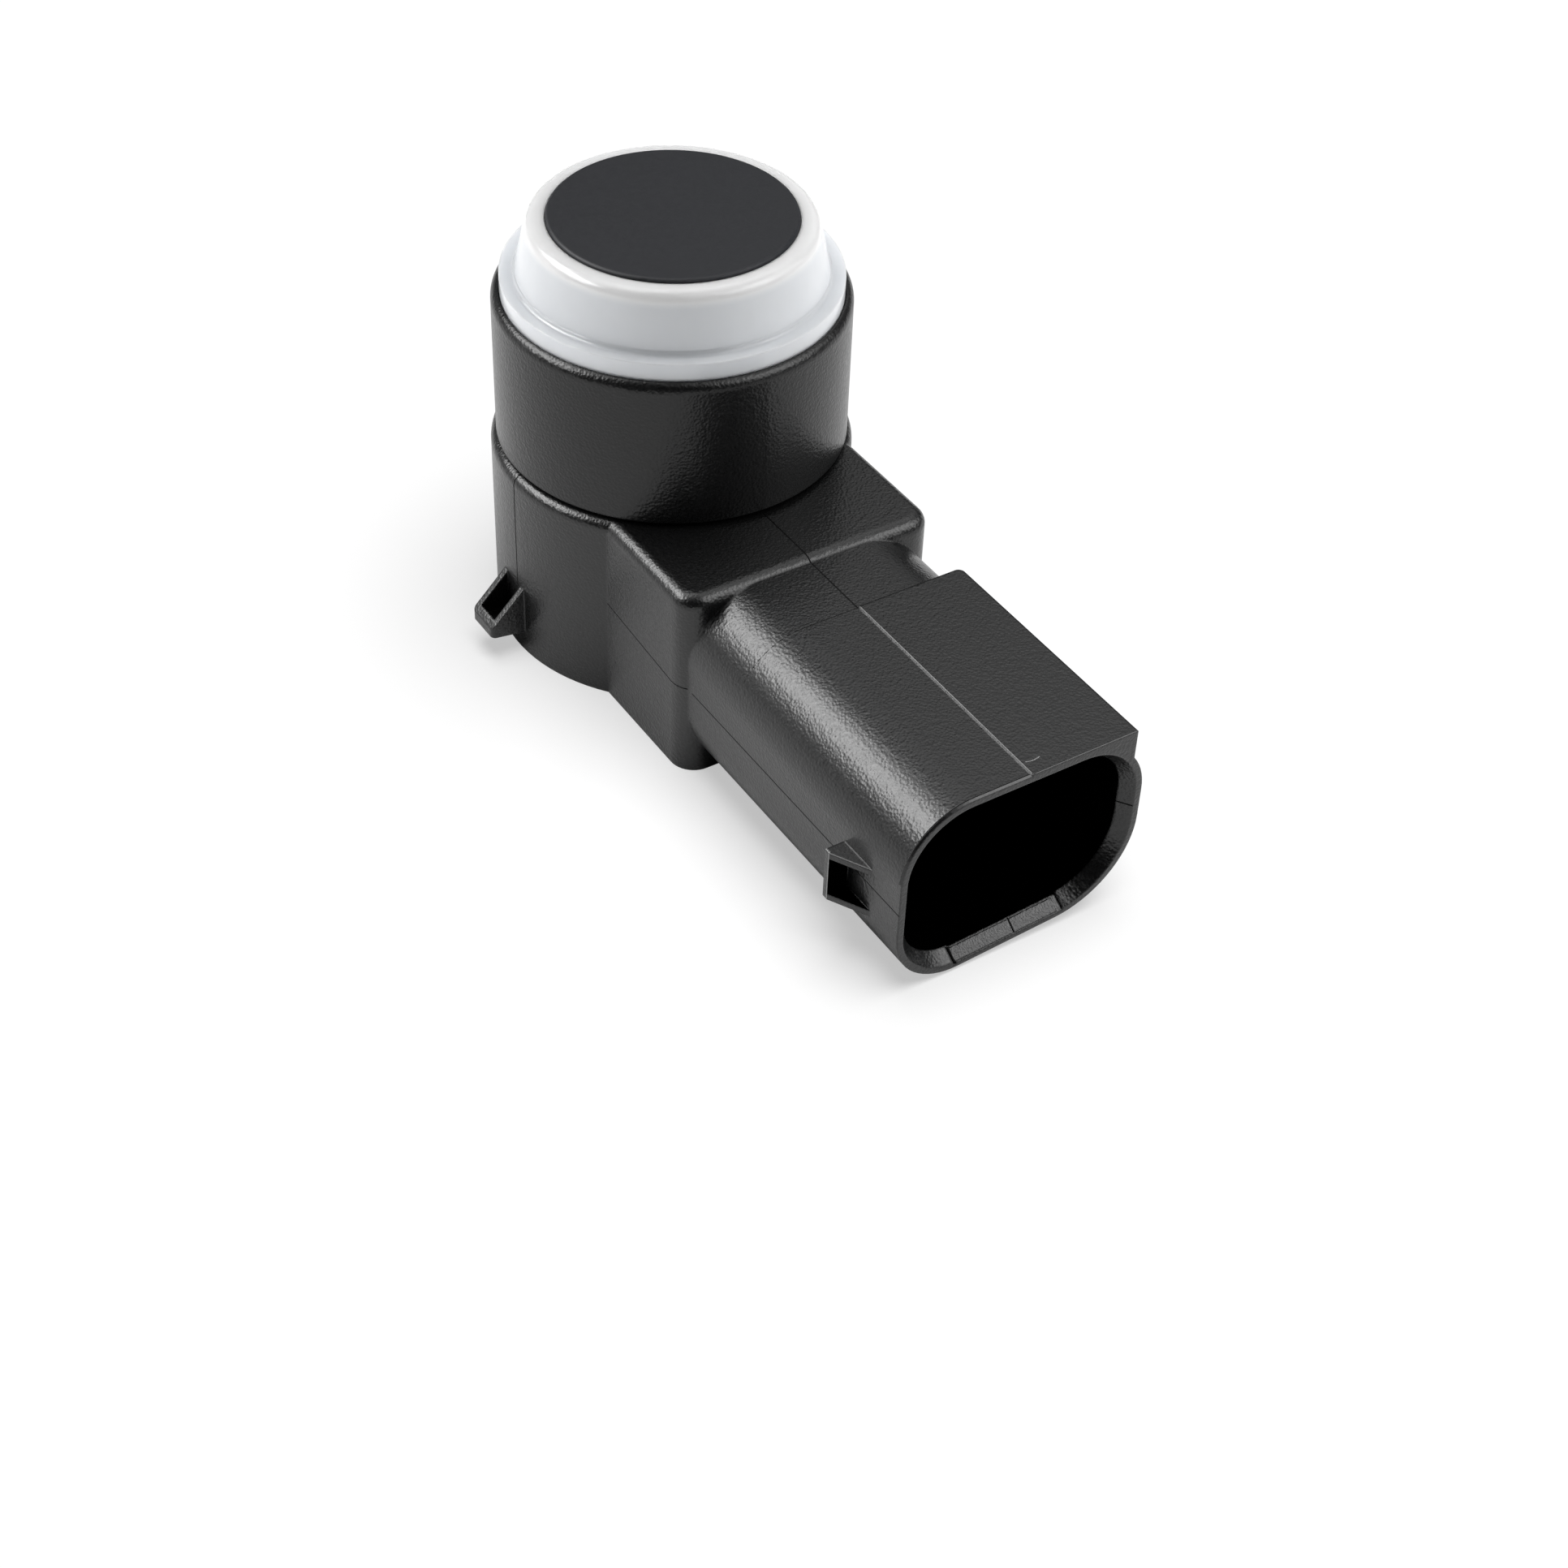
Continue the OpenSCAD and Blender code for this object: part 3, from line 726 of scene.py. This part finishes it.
    def strip_band(self, start: float, end: float) -> Path:
        """Returns the middle of one half of the keying strip.

        Args:
            start: Where the half starts along Y.
            end: Where it ends.

        Returns:
            The path.
        """
        return straight(self.strip_point(start, 0.5), self.strip_point(end, 0.5), self.strip_normal())

    def barrel_line(self) -> Path:
        """Returns the upright line on the barrel's left, up to its shoulder."""
        x = self.barrel_line_x
        depth = math.sqrt(self.barrel_r ** 2 - x ** 2)
        out = Vector((x, -depth, 0)).normalized()
        foot = Vector((x, -depth, self.barrel_line_foot))
        edge = Vector((x, -depth, self.barrel_top - self.shoulder_r))
        middle = edge - out * self.shoulder_r
        return straight(foot, edge, out) + bend(middle, out, Z, self.shoulder_r, (10, 80))

    def top_line(self) -> Path:
        """Returns the middle line over the block's top, its front edge and the socket's top."""
        y, edge = self.centre_y, self.block_front - self.block_edge_r
        middle = Vector((edge, y, self.barrel_top - self.block_edge_r))
        end_angle = math.degrees(math.acos((self.socket_top - middle.z) / self.block_edge_r))
        foot = Vector((edge + self.block_edge_r * math.sin(math.radians(end_angle)), y, self.socket_top))
        return (straight(Vector((self.collar_r, y, self.barrel_top)), Vector((edge, y, self.barrel_top)), Z)
                + bend(middle, Z, X, self.block_edge_r, (8, end_angle), 6)
                + straight(foot + X * 0.02 * MM, Vector((self.key_start, y, self.socket_top)), Z))

    def side_line(self) -> Path:
        """Returns the line along the block's left side and round its front corner."""
        y, (high, low) = -self.block_side, self.block_line_z
        start = Vector((math.sqrt(self.barrel_r ** 2 - y ** 2), y, high))
        post = Vector((self.block_front - self.block_corner_r, y + self.block_corner_r, low))
        return (straight(start, Vector((post.x, y, low)), -Y)
                + bend(post, -Y, X, self.block_corner_r, (10, 90)))

    def socket_line(self, side: int, out: Vector) -> Path:
        """Returns the line along a side of the socket.

        Args:
            side: 0 for the left side, 1 for the right.
            out: The side's outward direction.

        Returns:
            The path.
        """
        y, z = self.socket_sides[side], self.block_line_z[1]
        return straight(Vector((self.block_front, y, z)), Vector((self.socket_mouth, y, z)), out)

    def witness_line(self) -> Path:
        """Returns the faint line across the socket's top and down its shoulder."""
        x, corner = self.key_start, self.socket_corner_r
        middle = Vector((x, corner + self.socket_sides[0], self.socket_top - corner))
        return (straight(Vector((x, 0, self.socket_top)), middle + Z * corner, Z)
                + bend(middle, Z, -Y, corner, (6, 62)))


@dataclass
class Collar:
    """Collar that the bumper's holder takes."""

    finish: GrainedPlastic

    def build(self) -> None:
        """Dresses the collar."""
        dress("collar", self.finish)


@dataclass
class Transducer:
    """Silicone ring, painted membrane cup and what lies in the cup."""

    silicone: MilkySilicone
    paint: SatinPaint

    def build(self) -> None:
        """Dresses the ring, the cup and the cup's filling."""
        dress("decoupling_ring", self.silicone)
        dress("membrane_cup", self.paint)
        dress("piezo_disc", PlainFinish("piezo_ceramic", (0.66, 0.64, 0.6), (0.35, 0.5)))
        dress("damping_foam", PlainFinish("grey_foam", (0.3, 0.31, 0.33), (0.8, 0.95), mottle=0.6))
        dress("cup_filler", PlainFinish("clear_gel", (0.72, 0.72, 0.68), (0.15, 0.25)))


@dataclass
class Electronics:
    """Board, terminals, board parts and potting."""

    resin: PlainFinish = PlainFinish("black_resin", (0.02, 0.02, 0.022), (0.35, 0.55), mottle=0.7)
    tin: PlainFinish = PlainFinish("bright_tin", (0.72, 0.71, 0.68), (0.18, 0.3), 1.0)
    copper: PlainFinish = PlainFinish("bare_copper", (0.72, 0.4, 0.2), (0.2, 0.35), 1.0)

    def build(self) -> None:
        """Dresses the electronics."""
        for node in ("potting_compound", "control_chip", "protection_diode", "chip_resistors"):
            dress(node, self.resin)
        for node in ("terminal_pin_left", "terminal_pin_centre", "terminal_pin_right"):
            dress(node, self.tin)
        for node in ("piezo_lead_left", "piezo_lead_right", "transformer_winding"):
            dress(node, self.copper)
        dress("circuit_board", PlainFinish("green_laminate", (0.03, 0.2, 0.09), (0.3, 0.45)))
        dress("transformer_bobbin", PlainFinish("black_bobbin", (0.025, 0.025, 0.027), (0.4, 0.55)))
        dress("transformer_core", PlainFinish("grey_ferrite", (0.14, 0.14, 0.15), (0.5, 0.7)))
        dress("storage_capacitor", PlainFinish("orange_resin", (0.62, 0.3, 0.05), (0.3, 0.4)))
        dress("ceramic_capacitors", PlainFinish("tan_ceramic", (0.5, 0.37, 0.22), (0.4, 0.6)))


class Gives(Enum):
    """What a lamp gives the sensor."""

    SHEEN = "highlights only"
    FILL = "soft light without highlights"


@dataclass(frozen=True)
class Softbox:
    """Soft square lamp that looks at the sensor and leaves the floor alone."""

    name: str
    gives: Gives
    towards: tuple[float, float, float]
    watts: float
    distance: float = 0.45
    side: float = 0.3

    def build(self, target: Vector, spared: bpy.types.Collection) -> None:
        """Hangs the lamp.

        Args:
            target: The point that the lamp looks at.
            spared: Collection that keeps the lamp off the floor.
        """
        data = bpy.data.lights.new(self.name, "AREA")
        data.size, data.energy = self.side, self.watts
        lamp = bpy.data.objects.new(self.name, data)
        back = Vector(self.towards).normalized()
        lamp.location = target + back * self.distance
        lamp.rotation_euler = back.to_track_quat("Z", "Y").to_euler()
        lamp.visible_glossy = self.gives is Gives.SHEEN
        lamp.visible_diffuse = self.gives is Gives.FILL
        lamp.light_linking.receiver_collection = spared
        bpy.context.scene.collection.objects.link(lamp)


@dataclass
class Studio:
    """White floor, soft lamps, plain surroundings and the camera."""

    lamps: tuple[Softbox, ...]
    ambient: float
    floor_side: float = 3.0
    floor_gap: float = 0.02 * MM
    floor_white: float = 0.96
    floor_light: float = 3.3
    floor_spread: float = 50.0
    floor_lean: tuple[float, float, float] = (0.1, 0.1, 1.0)
    floor_glow: float = 0.5
    target: tuple[float, float, float] = (0.015, 0.0013127, -0.0095418)
    azimuth: float = 55.9137
    elevation: float = 41.8453
    roll: float = 2.4397
    distance: float = 0.2136126
    focal_px: float = 3398.3
    sensor: float = 36.0

    def build(self) -> None:
        """Builds the whole stage."""
        self.camera()
        self.surroundings()
        floor = self.floor()
        self.light_floor(self.linked("floor_only", floor, "INCLUDE"))
        spared = self.linked("all_but_floor", floor, "EXCLUDE")
        middle = (CAD_BOX[0] + CAD_BOX[1]) / 2
        for lamp in self.lamps:
            lamp.build(middle, spared)
        bpy.context.scene.view_settings.view_transform = "Standard"

    def camera(self) -> None:
        """Sets the camera at the photograph's viewing angle."""
        a, e, r = (math.radians(v) for v in (self.azimuth, self.elevation, self.roll))
        back = Vector((math.sin(a) * math.cos(e), -math.cos(a) * math.cos(e), math.sin(e)))
        level = Vector((math.cos(a), math.sin(a), 0))
        upright = back.cross(level)
        right = level * math.cos(r) + upright * math.sin(r)
        up = upright * math.cos(r) - level * math.sin(r)
        data = bpy.data.cameras.new("camera")
        data.sensor_width = self.sensor
        data.lens = self.sensor * self.focal_px / PHOTO_SIDE
        data.clip_start = 0.01
        camera = bpy.data.objects.new("camera", data)
        camera.matrix_world = Matrix.Translation(Vector(self.target) + back * self.distance) @ Matrix(
            (right, up, back)).transposed().to_4x4()
        bpy.context.scene.collection.objects.link(camera)
        bpy.context.scene.camera = camera

    def floor(self) -> bpy.types.Object:
        """Lays the white floor, which keeps a soft shadow.

        Returns:
            The floor.
        """
        half, level = self.floor_side / 2, CAD_BOX[0].z - self.floor_gap
        mesh = bpy.data.meshes.new("floor")
        mesh.from_pydata([(x * half, y * half, level) for x, y in ((-1, -1), (1, -1), (1, 1), (-1, 1))],
                         [], [(0, 1, 2, 3)])
        floor = bpy.data.objects.new("floor", mesh)
        bpy.context.scene.collection.objects.link(floor)
        graph = Graph("white_floor")
        matt = graph.node("ShaderNodeBsdfDiffuse")
        graph.feed(matt.inputs["Color"], (self.floor_white, self.floor_white, self.floor_white, 1.0))
        glow = graph.node("ShaderNodeEmission")
        rays = graph.node("ShaderNodeLightPath").outputs
        mixed = graph.node("ShaderNodeMixShader")
        graph.feed(mixed.inputs[0], graph.math("MULTIPLY", rays["Is Camera Ray"], self.floor_glow))
        graph.feed(mixed.inputs[1], matt.outputs[0])
        graph.feed(mixed.inputs[2], glow.outputs[0])
        graph.feed(graph.output.inputs["Surface"], mixed.outputs[0])
        mesh.materials.append(graph.material)
        return floor

    def linked(self, name: str, floor: bpy.types.Object, state: str) -> bpy.types.Collection:
        """Makes a collection that ties lamps to the floor or keeps them off it.

        Args:
            name: The collection's name.
            floor: The floor.
            state: INCLUDE or EXCLUDE.

        Returns:
            The collection.
        """
        made = bpy.data.collections.new(name)
        made.objects.link(floor)
        made.collection_objects[0].light_linking.link_state = state
        return made

    def light_floor(self, floor_only: bpy.types.Collection) -> None:
        """Lights the floor from above, so that it is white and the sensor casts a soft shadow.

        Args:
            floor_only: Collection that ties the light to the floor.
        """
        data = bpy.data.lights.new("floor_light", "SUN")
        data.energy, data.angle = self.floor_light, math.radians(self.floor_spread)
        lamp = bpy.data.objects.new("floor_light", data)
        lamp.rotation_euler = Vector(self.floor_lean).to_track_quat("Z", "Y").to_euler()
        lamp.light_linking.receiver_collection = floor_only
        bpy.context.scene.collection.objects.link(lamp)

    def surroundings(self) -> None:
        """Sets plain white surroundings that the camera sees and that fill the shadows."""
        world = bpy.data.worlds.new("studio")
        world.use_nodes = True
        tree = world.node_tree
        rays = tree.nodes.new("ShaderNodeLightPath").outputs
        strength = tree.nodes.new("ShaderNodeMath")
        strength.operation = "MULTIPLY_ADD"
        tree.links.new(rays["Is Diffuse Ray"], strength.inputs[0])
        strength.inputs[1].default_value = self.ambient
        tree.links.new(rays["Is Camera Ray"], strength.inputs[2])
        sky = tree.nodes["Background"]
        sky.inputs["Color"].default_value = (1.0, 1.0, 1.0, 1.0)
        tree.links.new(strength.outputs[0], sky.inputs["Strength"])
        bpy.context.scene.world = world


def main() -> None:
    """Builds the stage and every sub-assembly."""
    logging.basicConfig(level=logging.INFO)
    plastic = GrainedPlastic(
        name="black_plastic", dark=(0.0046, 0.0047, 0.0049), light=(0.0054, 0.0055, 0.0057),
        roughness=(0.27, 0.34), pebble=0.2 * MM, pebble_depth=0.022 * MM, edge_radius=0.22 * MM)
    # The socket's inner walls get a painted shade: near black, without reflections.
    socket_room = Room(span=(21.9 * MM, 44.45 * MM), middle=(0.0, 7.8 * MM), least_reach=1.5 * MM)
    plastic_with_painted_shade = replace(plastic, room=socket_room)
    # Dark finish for the mould's seams, and for the painted shade in the slit.
    dark = GrainedPlastic(
        name="dark_seam_and_painted_shade", dark=(0.002, 0.002, 0.0021), light=(0.003, 0.003, 0.0031),
        roughness=(0.5, 0.6), pebble=0.24 * MM, pebble_depth=0.002 * MM, edge_radius=0.02 * MM, gloss=0.08)
    bright = replace(plastic, name="bright_edge", pebble_depth=0.002 * MM, edge_radius=0.02 * MM)
    # Light colour: real wear on the key rib's scratched mark, and painted highlight on the strip's step and
    # the catch's edges.
    wear_and_painted_highlight = replace(bright, name="wear_and_painted_highlight_plastic", dark=(0.2, 0.2, 0.2), light=(0.3, 0.3, 0.3))
    # Lighter colour as painted light on the keying strip, with a coarser grain.
    grainy_painted_light = replace(plastic, name="grainy_painted_light_plastic", dark=(0.01, 0.01, 0.0105), light=(0.03, 0.03, 0.031),
                     pebble=0.14 * MM, pebble_depth=0.016 * MM, edge_radius=0.02 * MM)
    Studio(
        lamps=(
            Softbox("low_left_fill", Gives.FILL, (-0.544, -0.804, 0.242), 1.05),
            Softbox("back_left_fill", Gives.FILL, (-0.784, -0.081, 0.616), 0.8),
            Softbox("back_right_fill", Gives.FILL, (-0.081, 0.784, 0.616), 0.7),
            Softbox("low_right_fill", Gives.FILL, (0.544, 0.804, 0.242), 0.9),
            Softbox("top_fill", Gives.FILL, (-0.2, 0.13, 0.97), 0.5),
            Softbox("left_sheen", Gives.SHEEN, (-0.638, -0.462, 0.616), 1.2, side=0.2),
            Softbox("left_low_sheen", Gives.SHEEN, (-0.617, -0.7, 0.34), 0.2, side=0.25),
            Softbox("left_front_sheen", Gives.SHEEN, (-0.322, -0.719, 0.616), 1.3, side=0.2),
            Softbox("top_left_sheen", Gives.SHEEN, (-0.38, -0.275, 0.883), 0.75),
            Softbox("top_back_sheen", Gives.SHEEN, (-0.32, 0.3, 0.9), 0.36),
            Softbox("back_sheen", Gives.SHEEN, (-0.462, 0.638, 0.616), 0.17),
            Softbox("back_right_sheen", Gives.SHEEN, (0.322, 0.719, 0.616), 0.65),
            Softbox("right_sheen", Gives.SHEEN, (0.638, 0.462, 0.616), 0.75),
            Softbox("top_right_sheen", Gives.SHEEN, (0.38, 0.275, 0.883), 0.45),
        ),
        ambient=0.08,
    ).build()
    Housing(
        finish=plastic_with_painted_shade,
        parting=Trace(dark, 0.1 * MM, 0.02 * MM),
        seam=Trace(dark, 0.12 * MM, 0.025 * MM),
        # Dark ridge as painted shade in the slit.
        slit=Trace(dark, 0.24 * MM, 0.05 * MM),
        witness=Trace(replace(plastic, name="witness_plastic"), 0.1 * MM, 0.008 * MM),
        edge=Trace(bright, 0.11 * MM, 0.035 * MM),
        rim=Trace(bright, 0.3 * MM, 0.1 * MM),
        # Light ridges as painted highlights on the strip's step and the catch's tip.
        step=Trace(wear_and_painted_highlight, 0.16 * MM, 0.03 * MM),
        # The strip's lighter colour is painted light.
        strip=Trace(grainy_painted_light, 1.05 * MM, 0.02 * MM),
        # Light ridges: real wear on the key rib, painted highlights on the catch's ramp and outer edge.
        scratch_and_painted_highlight=Trace(wear_and_painted_highlight, 0.1 * MM, 0.02 * MM),
    ).build()
    Collar(replace(plastic, gloss=0.38)).build()
    Transducer(
        silicone=MilkySilicone(
            # The lip's paler colour is a painted highlight.
            name="milky_silicone", colour=(0.83, 0.85, 0.875), painted_lip_light=(0.965, 0.97, 0.975),
            lip=(32.0 * MM, 32.8 * MM), depth=0.6 * MM, roughness=(0.1, 0.16)),
        paint=SatinPaint(
            name="black_paint", colour=(0.0085, 0.0094, 0.0125), roughness=(0.5, 0.56), gloss=0.36),
    ).build()
    Electronics().build()


if __name__ == "__main__":
    main()
